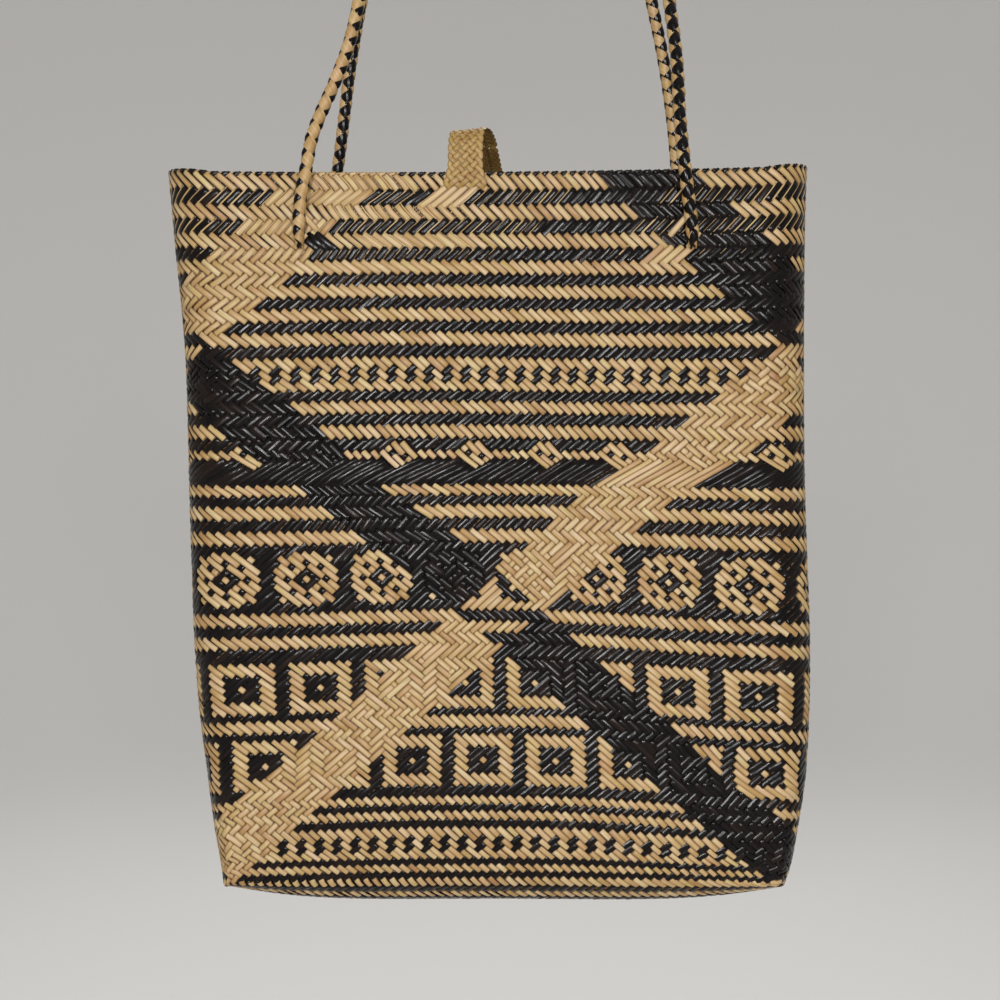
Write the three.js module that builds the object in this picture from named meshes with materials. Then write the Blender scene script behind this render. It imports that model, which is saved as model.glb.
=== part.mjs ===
// A shoulder bag plaited from rattan splints, hanging from the tops of its two braided straps.
// Millimetres, +Z up, front towards -Y. The origin is the point that the straps hang on.
import * as THREE from 'three';

// Driving dimensions of the plaited body
const RIM_DROP = 330; // hanging point down to the ends of the rim's long sides
const WALL_HEIGHT = 358; // rim down to the four corners of the base
const WALL = 1.8; // two crossing layers of splint
const RIM_WALL = 2.6; // splints turned back into the weave along the rim
const TURN_BACK = 38; // how far down from the rim the weave is doubled
const BASE_SAG = 11.5; // how far the middle of the base hangs below a surface stretched over its edges
const EDGE_RISE = 3.5; // middle of the base's long edges above the corners
const RIM_DIP = 1.8; // middle of the rim's long sides below their ends
const END_SAG = 4.5; // middle of the base's short edges below the corners
const END_PEAK = 4.5; // middle of the rim's rounded ends above the long sides
const TILT_REACH = 160; // half width that the tilt column is given for

// Mesh cells along a long side, round an end, up the wall
const LONG_CELLS = 30;
const END_CELLS = 6;
const RISE_CELLS = 22;

// Outline of the body at rising heights above the base corners: reach to the left and right, half depth,
// belly of the flat panels, how far the rounded ends stand out, and tilt of the rows of weave
const SECTIONS = [
  { up: 0, left: 142, right: 146, depth: 18, belly: 3, end: 8, tilt: -0.3 },
  { up: 12, left: 143.5, right: 149.5, depth: 21, belly: 3.5, end: 9, tilt: -0.8 },
  { up: 30, left: 147, right: 153, depth: 22.5, belly: 4, end: 12, tilt: -1.4 },
  { up: 55, left: 150.5, right: 157, depth: 23.5, belly: 4, end: 16, tilt: -1.7 },
  { up: 85, left: 154.5, right: 159, depth: 24, belly: 4, end: 20, tilt: -1.7 },
  { up: 125, left: 157.5, right: 159.5, depth: 24, belly: 4, end: 22, tilt: -1.4 },
  { up: 200, left: 160, right: 157, depth: 24, belly: 4, end: 23, tilt: -0.4 },
  { up: 265, left: 162, right: 156.5, depth: 24.5, belly: 3, end: 24, tilt: 0.4 },
  { up: 330, left: 168, right: 157, depth: 26, belly: 2, end: 25, tilt: 1.1 },
  { up: 358, left: 170.5, right: 158, depth: 27, belly: 2, end: 26, tilt: 1.2 },
];
const COLUMNS = ['left', 'right', 'depth', 'belly', 'end', 'tilt'];

// Driving dimensions of the loop and the straps
const LOOP_WIDTH = 17;
const LOOP_THICKNESS = 1.6;
const LOOP_STEPS = 36;
const STRAP_DIAMETER = 7;
const STRAP_SIDES = 10;
const STRAP_STEPS = 52;

// Middle line of the loop, from the front wall over the mouth to the back wall
const LOOP_ROUTE = [
  { x: -17.5, y: -30.9, z: -345 },
  { x: -17.4, y: -31.2, z: -337 },
  { x: -17.2, y: -31.6, z: -327 },
  { x: -17, y: -30.9, z: -316.5 },
  { x: -16, y: -26.6, z: -310.3 },
  { x: -13.5, y: -18, z: -308.5 },
  { x: -11, y: -6, z: -310.5 },
  { x: -9, y: 8, z: -315.5 },
  { x: -7.5, y: 20, z: -320.5 },
  { x: -6.8, y: 28.5, z: -324.8 },
  { x: -6.5, y: 31.9, z: -330.5 },
  { x: -6.5, y: 31.4, z: -338 },
  { x: -6.5, y: 30.9, z: -345 },
];

// Middle line of each strap, from its lacing at the left, over the hanging point, to its lacing at the right
const FRONT_ROUTE = [
  { x: -99.7, y: -31.6, z: -369 },
  { x: -100, y: -31.8, z: -357 },
  { x: -98.8, y: -32.5, z: -344 },
  { x: -96.2, y: -33.4, z: -331 },
  { x: -93.8, y: -32.9, z: -317 },
  { x: -90.3, y: -31.7, z: -306 },
  { x: -82.4, y: -29.7, z: -287 },
  { x: -75.4, y: -27.7, z: -267 },
  { x: -70.9, y: -26, z: -247 },
  { x: -61.5, y: -21.2, z: -197 },
  { x: -53, y: -16.7, z: -150 },
  { x: -45.5, y: -12, z: -100 },
  { x: -40.5, y: -8.2, z: -60 },
  { x: -38, y: -5.8, z: -29.7 },
  { x: -33.5, y: -4.9, z: -15.9 },
  { x: -24, y: -4.4, z: -4.6 },
  { x: -12, y: -4.2, z: 1.9 },
  { x: 0, y: -4.2, z: 3.8 },
  { x: 12, y: -4.2, z: 1.9 },
  { x: 24, y: -4.4, z: -4.6 },
  { x: 33.5, y: -4.9, z: -15.9 },
  { x: 38.5, y: -5.8, z: -29.7 },
  { x: 46, y: -8.2, z: -60 },
  { x: 56, y: -12, z: -100 },
  { x: 69, y: -16.7, z: -150 },
  { x: 79.5, y: -21.2, z: -197 },
  { x: 85, y: -26, z: -247 },
  { x: 88.2, y: -28.9, z: -276 },
  { x: 89.5, y: -31.8, z: -306 },
  { x: 91.6, y: -33.4, z: -329 },
  { x: 93.6, y: -32.5, z: -345 },
  { x: 95.3, y: -31.8, z: -358 },
  { x: 96.2, y: -31.6, z: -369 },
];
const BACK_ROUTE = [
  { x: -96, y: 31.6, z: -369 },
  { x: -95.3, y: 31.8, z: -357 },
  { x: -93.3, y: 32.5, z: -344 },
  { x: -90.3, y: 33.4, z: -331 },
  { x: -87.3, y: 32.9, z: -314 },
  { x: -83.9, y: 31, z: -289 },
  { x: -80.3, y: 29.2, z: -262 },
  { x: -73.5, y: 26, z: -225 },
  { x: -61, y: 20.3, z: -175 },
  { x: -50, y: 14.5, z: -120 },
  { x: -42.5, y: 9, z: -70 },
  { x: -38, y: 5.8, z: -29.7 },
  { x: -33.5, y: 4.9, z: -15.9 },
  { x: -24, y: 4.4, z: -4.6 },
  { x: -12, y: 4.2, z: 1.9 },
  { x: 0, y: 4.2, z: 3.8 },
  { x: 12, y: 4.2, z: 1.9 },
  { x: 24, y: 4.4, z: -4.6 },
  { x: 33.5, y: 4.9, z: -15.9 },
  { x: 38, y: 5.8, z: -29.7 },
  { x: 45.5, y: 9, z: -70 },
  { x: 57, y: 14.5, z: -120 },
  { x: 69.5, y: 20.3, z: -175 },
  { x: 80.5, y: 26, z: -225 },
  { x: 87.5, y: 29, z: -257 },
  { x: 92.6, y: 31.2, z: -289 },
  { x: 95, y: 32.9, z: -313 },
  { x: 96, y: 33.4, z: -331 },
  { x: 97.3, y: 32.5, z: -344 },
  { x: 98.3, y: 31.8, z: -357 },
  { x: 98.8, y: 31.6, z: -369 },
];

const CORNER_Z = -RIM_DROP - WALL_HEIGHT;
const RING = 2 * (LONG_CELLS + END_CELLS);

// Smooth values of the section table's columns at any height
function sectionReader() {
  const heights = SECTIONS.map((row) => row.up);
  const values = SECTIONS.flatMap((row) => COLUMNS.map((name) => row[name]));
  const reader = new THREE.CubicInterpolant(heights, values, COLUMNS.length);
  return (up) => {
    const found = reader.evaluate(up);
    return Object.fromEntries(COLUMNS.map((name, index) => [name, found[index]]));
  };
}

// A point on the middle surface of the wall: the ring runs along the front from left to right,
// round the right end, along the back and round the left end
function wallPoint(section, up, step) {
  const onBack = step >= LONG_CELLS + END_CELLS;
  const local = onBack ? step - LONG_CELLS - END_CELLS : step;
  const side = onBack ? -1 : 1;
  const nearReach = onBack ? section.right : section.left;
  const farReach = onBack ? section.left : section.right;
  const start = section.end - nearReach;
  const finish = farReach - section.end;
  let along = finish;
  let across = -section.depth;
  let middle = 0;
  let rounding = 0;
  if (local < LONG_CELLS) {
    const share = local / LONG_CELLS;
    middle = 1 - (2 * share - 1) ** 2;
    along = THREE.MathUtils.lerp(start, finish, share);
    across = -section.depth - section.belly * middle;
  } else {
    const turn = Math.PI * ((local - LONG_CELLS) / END_CELLS - 0.5);
    rounding = Math.cos(turn);
    along = finish + section.end * rounding;
    across = section.depth * Math.sin(turn);
  }
  const sideRise = THREE.MathUtils.lerp(EDGE_RISE, -RIM_DIP, up / WALL_HEIGHT) * middle;
  const endRise = THREE.MathUtils.lerp(-END_SAG, END_PEAK, up / WALL_HEIGHT) * rounding;
  const x = side * along;
  const tilt = (section.tilt * x) / TILT_REACH;
  return new THREE.Vector3(x, side * across, CORNER_Z + up + sideRise + endRise + tilt);
}

// The sagging base, stretched between the four sides of the lowest ring
function basePoint(ring, column, row) {
  const u = column / LONG_CELLS;
  const v = row / END_CELLS;
  const front = ring[column];
  const back = ring[2 * LONG_CELLS + END_CELLS - column];
  const left = ring[(RING - row) % RING];
  const right = ring[LONG_CELLS + row];
  const corners = [ring[0], ring[LONG_CELLS], ring[LONG_CELLS + END_CELLS], ring[RING - END_CELLS]];
  const nearEdge = corners[0].clone().lerp(corners[1], u);
  const farEdge = corners[3].clone().lerp(corners[2], u);
  const point = front.clone().lerp(back, v);
  point.add(left.clone().lerp(right, u));
  point.sub(nearEdge.lerp(farEdge, v));
  point.z -= BASE_SAG * (1 - (2 * u - 1) ** 4) * (1 - (2 * v - 1) ** 2);
  return point;
}

// The middle surface of the whole body as shared points and outward faces
function middleSurface() {
  const section = sectionReader();
  const points = [];
  const heights = [];
  const faces = [];
  const quad = (a, b, c, d) => faces.push(a, b, c, a, c, d);
  for (let row = 0; row <= RISE_CELLS; row += 1) {
    const up = WALL_HEIGHT * (row / RISE_CELLS) ** 1.25;
    for (let step = 0; step < RING; step += 1) {
      points.push(wallPoint(section(up), up, step));
      heights.push(up);
    }
  }
  for (let row = 0; row < RISE_CELLS; row += 1) {
    for (let step = 0; step < RING; step += 1) {
      const next = (step + 1) % RING;
      const below = row * RING;
      quad(below + step, below + next, below + RING + next, below + RING + step);
    }
  }
  const ring = points.slice(0, RING);
  const baseIndex = (column, row) => {
    if (row === 0) return column;
    if (row === END_CELLS) return 2 * LONG_CELLS + END_CELLS - column;
    if (column === 0) return RING - row;
    if (column === LONG_CELLS) return LONG_CELLS + row;
    return (RISE_CELLS + 1) * RING + (row - 1) * (LONG_CELLS - 1) + column - 1;
  };
  for (let row = 1; row < END_CELLS; row += 1) {
    for (let column = 1; column < LONG_CELLS; column += 1) {
      points.push(basePoint(ring, column, row));
      heights.push(0);
    }
  }
  for (let row = 0; row < END_CELLS; row += 1) {
    for (let column = 0; column < LONG_CELLS; column += 1) {
      const near = [baseIndex(column, row), baseIndex(column + 1, row)];
      const far = [baseIndex(column, row + 1), baseIndex(column + 1, row + 1)];
      quad(near[0], far[0], far[1], near[1]);
    }
  }
  return { points, heights, faces };
}

// The body: the middle surface thickened both ways and closed along the rim
function bodyGeometry() {
  const { points, heights, faces } = middleSurface();
  const middle = new THREE.BufferGeometry().setFromPoints(points);
  middle.setIndex(faces);
  middle.computeVertexNormals();
  const normals = middle.getAttribute('normal');
  const shell = [];
  for (const way of [1, -1]) {
    points.forEach((point, index) => {
      const doubled = THREE.MathUtils.smoothstep(heights[index], WALL_HEIGHT - TURN_BACK, WALL_HEIGHT);
      const half = THREE.MathUtils.lerp(WALL, RIM_WALL, doubled) / 2;
      const normal = new THREE.Vector3().fromBufferAttribute(normals, index);
      shell.push(point.clone().addScaledVector(normal, way * half));
    });
  }
  const count = points.length;
  const closed = [...faces];
  for (let index = 0; index < faces.length; index += 3) {
    closed.push(count + faces[index], count + faces[index + 2], count + faces[index + 1]);
  }
  for (let step = 0; step < RING; step += 1) {
    const here = RISE_CELLS * RING + step;
    const next = RISE_CELLS * RING + ((step + 1) % RING);
    closed.push(here, next, count + next, here, count + next, count + here);
  }
  const geometry = new THREE.BufferGeometry().setFromPoints(shell);
  geometry.setIndex(closed);
  geometry.computeVertexNormals();
  return geometry;
}

function curveThrough(route) {
  return new THREE.CatmullRomCurve3(route.map(({ x, y, z }) => new THREE.Vector3(x, y, z)));
}

// The loop: a flat band carried along its route, with its width kept as near to the X axis as it can be
function loopGeometry() {
  const curve = curveThrough(LOOP_ROUTE);
  const points = [];
  const faces = [];
  const quad = (a, b, c, d) => faces.push(a, b, c, a, c, d);
  for (let step = 0; step <= LOOP_STEPS; step += 1) {
    const centre = curve.getPointAt(step / LOOP_STEPS);
    const tangent = curve.getTangentAt(step / LOOP_STEPS);
    const across = new THREE.Vector3(1, 0, 0).addScaledVector(tangent, -tangent.x).normalize();
    const outward = new THREE.Vector3().crossVectors(across, tangent);
    across.multiplyScalar(LOOP_WIDTH / 2);
    outward.multiplyScalar(LOOP_THICKNESS / 2);
    points.push(centre.clone().sub(across).sub(outward));
    points.push(centre.clone().add(across).sub(outward));
    points.push(centre.clone().add(across).add(outward));
    points.push(centre.clone().sub(across).add(outward));
  }
  for (let step = 0; step < LOOP_STEPS; step += 1) {
    for (let side = 0; side < 4; side += 1) {
      const here = 4 * step + side;
      const next = 4 * step + ((side + 1) % 4);
      quad(here, here + 4, next + 4, next);
    }
  }
  const last = 4 * LOOP_STEPS;
  quad(0, 1, 2, 3);
  quad(last, last + 3, last + 2, last + 1);
  const geometry = new THREE.BufferGeometry().setFromPoints(points);
  geometry.setIndex(faces);
  geometry.computeVertexNormals();
  return geometry;
}

// A strap: a round braid carried along its route
function strapGeometry(route) {
  const section = new THREE.Shape();
  section.absarc(0, 0, STRAP_DIAMETER / 2, 0, 2 * Math.PI);
  return new THREE.ExtrudeGeometry(section, {
    extrudePath: curveThrough(route),
    steps: STRAP_STEPS,
    curveSegments: STRAP_SIDES / 2,
  });
}

function rattan(color, roughness) {
  return new THREE.MeshStandardMaterial({ color, roughness, metalness: 0 });
}

function piece(name, geometry, material) {
  const mesh = new THREE.Mesh(geometry, material);
  mesh.name = name;
  return mesh;
}

const bag = new THREE.Group();
bag.add(
  piece('bag_body', bodyGeometry(), rattan(0xc9a878, 0.55)),
  piece('top_loop', loopGeometry(), rattan(0xcdb07c, 0.55)),
  piece('strap_front', strapGeometry(FRONT_ROUTE), rattan(0x3a2e24, 0.5)),
  piece('strap_back', strapGeometry(BACK_ROUTE), rattan(0x3a2e24, 0.5)),
);

export default bag;
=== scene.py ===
# %% [markdown]
# # A plaited rattan shoulder bag
# The bag is woven on the bias from split cane. Natural splints lean one way and black splints the other,
# so every row of crossings is light or dark depending on which of the two lies on the outside.
# This lesson rebuilds it splint by splint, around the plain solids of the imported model.

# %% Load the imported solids
import math

import bpy
import numpy as np
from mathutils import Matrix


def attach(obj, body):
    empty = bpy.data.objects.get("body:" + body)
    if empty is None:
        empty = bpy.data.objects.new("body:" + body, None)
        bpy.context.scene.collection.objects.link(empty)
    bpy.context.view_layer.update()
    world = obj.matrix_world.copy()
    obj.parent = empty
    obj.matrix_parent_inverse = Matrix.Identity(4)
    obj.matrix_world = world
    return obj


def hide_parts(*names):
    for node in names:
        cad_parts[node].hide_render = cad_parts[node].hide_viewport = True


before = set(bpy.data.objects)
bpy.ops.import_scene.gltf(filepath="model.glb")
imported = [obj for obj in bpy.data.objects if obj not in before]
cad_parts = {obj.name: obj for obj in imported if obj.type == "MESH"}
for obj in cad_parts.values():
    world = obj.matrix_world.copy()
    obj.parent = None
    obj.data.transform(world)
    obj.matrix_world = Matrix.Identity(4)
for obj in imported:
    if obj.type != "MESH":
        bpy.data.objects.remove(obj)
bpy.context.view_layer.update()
scene = bpy.context.scene
MM = 0.001


def add_object(name, data):
    """Puts a new object with this data into the scene."""
    thing = bpy.data.objects.new(name, data)
    scene.collection.objects.link(thing)
    return thing


# %% [markdown]
# ## The camera
# The photograph looks straight at the middle of the front panel from arm's length. A length of 54 mm on a
# 36 mm sensor shows half a metre at 0.75 m, which is the picture's width at the front of the bag.

# %% Set the camera
VIEW_DISTANCE = 0.75
PICTURE_WIDTH = 0.5
FRONT_PLANE = -0.027
EYE_LEVEL = -0.495

lens = bpy.data.cameras.new("photo_camera")
lens.sensor_width = 36.0
lens.lens = lens.sensor_width * VIEW_DISTANCE / PICTURE_WIDTH
camera = add_object("photo_camera", lens)
camera.location = (0.0, FRONT_PLANE - VIEW_DISTANCE, EYE_LEVEL)
camera.rotation_euler = (math.radians(90), 0.0, 0.0)
scene.camera = camera

# %% [markdown]
# ## One splint
# Everything on this bag is a splint: a thin strip with a flat inside and a slightly rounded skin. A curve
# with a bevel could draw one, but each splint here needs its own outward direction at every point, so the
# strips are made as arrays: a section of a few points carried along a list of centres. Natural splints
# keep their flat skin, the black ones are scraped rounder. Each point also keeps how far along the splint
# it lies, on which side, its tone and whether its skin lies under another one, for the materials to read.

# %% Make splints from arrays
SKIN_SECTION = np.array([[-1, -0.3], [-0.45, 0.85], [0.45, 0.85], [1, -0.3], [0.94, -1], [-0.94, -1]])
ROUND_SECTION = np.array([[-1, -0.55], [-0.6, 0.5], [0, 1], [0.6, 0.5], [1, -0.55], [0, -1]])
FLAT_INSIDE = -0.9
SHARP_ANGLE = math.radians(50)


def unit(vectors):
    return vectors / np.maximum(np.linalg.norm(vectors, axis=-1, keepdims=True), 1e-9)


def run_along(points):
    """How far along a line of points each of them lies."""
    return np.concatenate([[0.0], np.cumsum(np.linalg.norm(np.diff(points, axis=0), axis=1))])


def splint(centres, outward, width, thickness, tone, section=SKIN_SECTION, under=0.0):
    """One closed strip through the centres, in millimetres, with its skin towards outward."""
    along = unit(np.gradient(centres, axis=0))
    across = unit(np.cross(outward, along))
    outward = unit(np.cross(along, across))
    half = np.broadcast_to(np.asarray(width, float) / 2, len(centres))
    points = (
        centres[:, None]
        + across[:, None] * (section[:, 0] * half[:, None])[..., None]
        + outward[:, None] * (section[:, 1] * thickness / 2)[None, :, None]
    )
    count, sides = points.shape[:2]
    index = np.arange(count * sides).reshape(count, sides)
    turned = np.roll(index, -1, axis=1)
    quads = np.stack([index[:-1], index[1:], turned[1:], turned[:-1]], axis=-1).reshape(-1, 4)
    caps = np.stack([index[0], index[-1][::-1]])
    tone, under = (np.broadcast_to(np.asarray(value, float), count) for value in (tone, under))
    skin = section[:, 1] > FLAT_INSIDE
    return {
        "points": points.reshape(-1, 3),
        "faces": [quads, caps],
        "run": np.repeat(run_along(centres), sides),
        "side": np.tile(section[:, 0], count),
        "tone": np.repeat(tone, sides),
        "under": (under[:, None] * skin).ravel(),
    }


def bundle(name, splints, material):
    """Joins splints into one object that rides on the bag."""
    points = np.concatenate([one["points"] for one in splints]) * MM
    starts = np.cumsum([0] + [len(one["points"]) for one in splints])
    faces = []
    for one, start in zip(splints, starts):
        for group in one["faces"]:
            faces += (group + start).tolist()
    mesh = bpy.data.meshes.new(name)
    mesh.from_pydata(points.tolist(), [], faces)
    mesh.validate()
    mesh.shade_smooth()
    mesh.set_sharp_from_angle(angle=SHARP_ANGLE)
    for attribute in ("run", "side", "tone", "under"):
        layer = mesh.attributes.new(attribute, "FLOAT", "POINT")
        layer.data.foreach_set("value", np.concatenate([one[attribute] for one in splints]))
    mesh.materials.append(material)
    piece = add_object(name, mesh)
    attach(piece, "root")
    print(name, len(splints), "splints,", sum(len(face) - 2 for face in faces), "triangles")
    return piece


# %% [markdown]
# ## Two finishes of cane
# Natural cane is straw to honey coloured, paler or redder from splint to splint, with fine fibres along it
# and a satin skin. The black splints are dyed: nearly black, a little brown where the dye is thin, and
# shinier. Both are noise stretched along the splint, read from the coordinates stored with the points.
# The cane of the loop is natural too, a little yellower.

# %% Build the cane materials
WHITE = (1.0, 1.0, 1.0)
TONE_SHIFT = 400.0
# Share of a splint's middle kept free of the edge wear and painted edge shade.
UNDARKENED_MIDDLE = 0.45
FIBRE_DEPTH = 0.0002
TONE_SHADE, DRIFT_SHADE, LEAST_SHADE = 0.36, 0.45, 0.09
FIBRE_AMOUNT, STAIN_AMOUNT = 0.85, 0.55
STAIN = (0.26, 0.10, 0.035, 1.0)
TONE_DYE, FIBRE_DYE = 0.4, 0.6
STRAW = [
    (0.14, (0.26, 0.125, 0.045)),
    (0.30, (0.42, 0.255, 0.10)),
    (0.50, (0.54, 0.385, 0.188)),
    (0.70, (0.60, 0.47, 0.28)),
    (0.90, (0.68, 0.585, 0.41)),
]


def add_node(tree, kind, inputs=(), **settings):
    """A node with its settings, and its inputs set to numbers or linked to other nodes' outputs."""
    node = tree.nodes.new(kind)
    for key, value in settings.items():
        setattr(node, key, value)
    for key, value in dict(inputs).items():
        if isinstance(value, bpy.types.NodeSocket):
            tree.links.new(value, node.inputs[key])
        else:
            node.inputs[key].default_value = value
    return node


def attribute(tree, name):
    return add_node(tree, "ShaderNodeAttribute", attribute_name=name).outputs["Fac"]


def maths(tree, operation, *values):
    return add_node(tree, "ShaderNodeMath", enumerate(values), operation=operation).outputs[0]


def cane_noise(tree, along, across, seed, detail=2.0):
    """Noise in the splint's own coordinates: along it in cycles a millimetre, across it in cycles."""
    place = add_node(tree, "ShaderNodeCombineXYZ", {
        "X": maths(tree, "MULTIPLY", attribute(tree, "run"), along),
        "Y": maths(tree, "MULTIPLY", attribute(tree, "side"), across),
        "Z": maths(tree, "MULTIPLY_ADD", attribute(tree, "tone"), TONE_SHIFT, seed),
    })
    inputs = {"Vector": place.outputs[0], "Scale": 1.0, "Detail": detail}
    return add_node(tree, "ShaderNodeTexNoise", inputs).outputs["Fac"]


def ramp(tree, value, stops):
    node = add_node(tree, "ShaderNodeValToRGB", {"Fac": value})
    points = node.color_ramp.elements
    while len(points) < len(stops):
        points.new(0.5)
    for point, (place, colour) in zip(points, stops):
        point.position = place
        point.color = (*colour, 1.0)
    return node.outputs["Color"]


def mix_colour(tree, first, second, amount=1.0, blend="MULTIPLY"):
    """Mixes two colours: of this node's sockets, 6 and 7 take colours and 2 gives one."""
    sockets = {0: amount, 6: first, 7: second}
    return add_node(tree, "ShaderNodeMix", sockets, data_type="RGBA", blend_type=blend).outputs[2]


def new_material(name):
    material = bpy.data.materials.new(name)
    material.use_nodes = True
    return material, material.node_tree, material.node_tree.nodes["Principled BSDF"]


def worn_and_shaded_skin(tree, colour, edge_wear_and_shade, gap):
    """Darkens both edges (wear and painted shade) and paints shade where the skin lies under another."""
    edge = maths(tree, "ABSOLUTE", attribute(tree, "side"))
    edges = ramp(tree, edge, [(UNDARKENED_MIDDLE, WHITE), (1.0, edge_wear_and_shade)])
    gaps = ramp(tree, attribute(tree, "under"), [(0.0, WHITE), (1.0, gap)])
    return mix_colour(tree, mix_colour(tree, colour, edges), gaps)


def finish_cane(tree, shader, colour, fibre, rough, relief, waves):
    """Sheen and relief: fine fibres on slow waves along the splint, which break up its highlights."""
    tree.links.new(colour, shader.inputs["Base Color"])
    sheen = add_node(tree, "ShaderNodeMapRange", {"Value": fibre, "To Min": rough[0], "To Max": rough[1]})
    tree.links.new(sheen.outputs[0], shader.inputs["Roughness"])
    slow = cane_noise(tree, along=0.06, across=0.1, seed=61.0, detail=0.0)
    wave = add_node(tree, "ShaderNodeBump", {"Height": slow, "Strength": 1.0, "Distance": waves})
    bump = add_node(tree, "ShaderNodeBump", {"Height": fibre, "Strength": relief, "Distance": FIBRE_DEPTH,
                                            "Normal": wave.outputs[0]})
    tree.links.new(bump.outputs[0], shader.inputs["Normal"])


def natural_cane(name, filter_colour):
    """Straw, paler or browner from float to float, a little greener or pinker, with fibres and stains."""
    material, tree, shader = new_material(name)
    drift = cane_noise(tree, along=0.07, across=0.0, seed=3.0)
    shade = maths(tree, "MULTIPLY_ADD", attribute(tree, "tone"), TONE_SHADE, LEAST_SHADE)
    shade = maths(tree, "ADD", shade, maths(tree, "MULTIPLY", drift, DRIFT_SHADE))
    stops = [(place, tuple(np.multiply(colour, filter_colour))) for place, colour in STRAW]
    straw = ramp(tree, shade, stops)
    tint = ramp(tree, cane_noise(tree, along=0.012, across=0.0, seed=47.0), [
        (0.32, (0.96, 1.0, 0.82)),
        (0.50, WHITE),
        (0.68, (1.02, 0.98, 1.07)),
    ])
    straw = mix_colour(tree, straw, tint)
    fibre = cane_noise(tree, along=0.05, across=5.0, seed=11.0, detail=3.0)
    fibres = ramp(tree, fibre, [(0.3, (0.66, 0.57, 0.44)), (0.65, WHITE)])
    body = mix_colour(tree, straw, fibres, FIBRE_AMOUNT)
    blots = cane_noise(tree, along=0.025, across=0.3, seed=29.0)
    stain = ramp(tree, blots, [(0.62, (0.0, 0.0, 0.0)), (0.72, WHITE)])
    body = mix_colour(tree, body, STAIN, maths(tree, "MULTIPLY", stain, STAIN_AMOUNT), "MIX")
    # Edges: wear and painted shade between splints. Under another splint: painted shade in the gap.
    skin = worn_and_shaded_skin(tree, body, edge_wear_and_shade=(0.48, 0.36, 0.24), gap=(0.27, 0.19, 0.115))
    finish_cane(tree, shader, skin, fibre, rough=(0.40, 0.60), relief=0.35, waves=0.0004)
    return material


def black_cane():
    """Dyed cane, browner where the fibres took less dye."""
    material, tree, shader = new_material("black_cane")
    fibre = cane_noise(tree, along=0.05, across=4.0, seed=17.0, detail=3.0)
    dye = maths(tree, "ADD", maths(tree, "MULTIPLY", attribute(tree, "tone"), TONE_DYE),
                maths(tree, "MULTIPLY", fibre, FIBRE_DYE))
    colour = ramp(tree, dye, [
        (0.25, (0.0017, 0.0012, 0.0013)),
        (0.55, (0.0040, 0.0026, 0.0024)),
        (0.85, (0.018, 0.0095, 0.0065)),
    ])
    finish_cane(tree, shader, colour, fibre, rough=(0.12, 0.28), relief=0.4, waves=0.0014)
    shader.inputs["Specular IOR Level"].default_value = 0.19
    return material


natural = natural_cane("natural_cane", (0.94, 0.945, 0.93))
loop_cane = natural_cane("yellow_cane", (0.68, 0.63, 0.38))
black = black_cane()
CANES = {"natural": natural, "black": black}

# %% [markdown]
# ## The braided straps
# Each strap is a round braid of four splints: two black ones wind one way and two natural ones the other,
# each over one and under one. Seen from one side the black pair makes a chain down the middle, a quarter
# turn round the natural pair does. The route is the solid's own middle line, and the braid turns slowly
# on its way, so both chains come to the front in places. At both ends it thins and settles into the wall.

# %% Lay the strap routes
TOP_TURN = [
    (-0.0335, 0.0049, -0.0159), (-0.024, 0.0044, -0.0046), (-0.012, 0.0042, 0.0019), (0.0, 0.0042, 0.0038),
    (0.012, 0.0042, 0.0019), (0.024, 0.0044, -0.0046), (0.0335, 0.0049, -0.0159),
]
FRONT_ROUTE = [
    (-0.0997, -0.0316, -0.369), (-0.1, -0.0318, -0.357), (-0.0988, -0.0325, -0.344),
    (-0.0962, -0.0334, -0.331), (-0.0938, -0.0329, -0.317), (-0.0903, -0.0317, -0.306),
    (-0.0824, -0.0297, -0.287), (-0.0754, -0.0277, -0.267), (-0.0709, -0.026, -0.247),
    (-0.0615, -0.0212, -0.197), (-0.053, -0.0167, -0.15), (-0.0455, -0.012, -0.1),
    (-0.0405, -0.0082, -0.06), (-0.038, -0.0058, -0.0297), *((x, -y, z) for x, y, z in TOP_TURN),
    (0.0385, -0.0058, -0.0297), (0.046, -0.0082, -0.06), (0.056, -0.012, -0.1),
    (0.069, -0.0167, -0.15), (0.0795, -0.0212, -0.197), (0.085, -0.026, -0.247),
    (0.0882, -0.0289, -0.276), (0.0895, -0.0318, -0.306), (0.0916, -0.0334, -0.329),
    (0.0936, -0.0325, -0.345), (0.0953, -0.0318, -0.358), (0.0962, -0.0316, -0.369),
]
BACK_ROUTE = [
    (-0.096, 0.0316, -0.369), (-0.0953, 0.0318, -0.357), (-0.0933, 0.0325, -0.344),
    (-0.0903, 0.0334, -0.331), (-0.0873, 0.0329, -0.314), (-0.0839, 0.031, -0.289),
    (-0.0803, 0.0292, -0.262), (-0.0735, 0.026, -0.225), (-0.061, 0.0203, -0.175),
    (-0.05, 0.0145, -0.12), (-0.0425, 0.009, -0.07), (-0.038, 0.0058, -0.0297), *TOP_TURN,
    (0.038, 0.0058, -0.0297), (0.0455, 0.009, -0.07), (0.057, 0.0145, -0.12),
    (0.0695, 0.0203, -0.175), (0.0805, 0.026, -0.225), (0.0875, 0.029, -0.257),
    (0.0926, 0.0312, -0.289), (0.095, 0.0329, -0.313), (0.096, 0.0334, -0.331),
    (0.0973, 0.0325, -0.344), (0.0983, 0.0318, -0.357), (0.0988, 0.0316, -0.369),
]
CURVE_STEPS = 40
ROUTE_STEP = 0.9


def cubic(share, start, rise, leave, reach):
    """A smooth way from start up by rise, with the slopes leave and reach at its ends."""
    return (start + share * leave + share**2 * (3 * rise - 2 * leave - reach)
            + share**3 * (leave + reach - 2 * rise))


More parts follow.
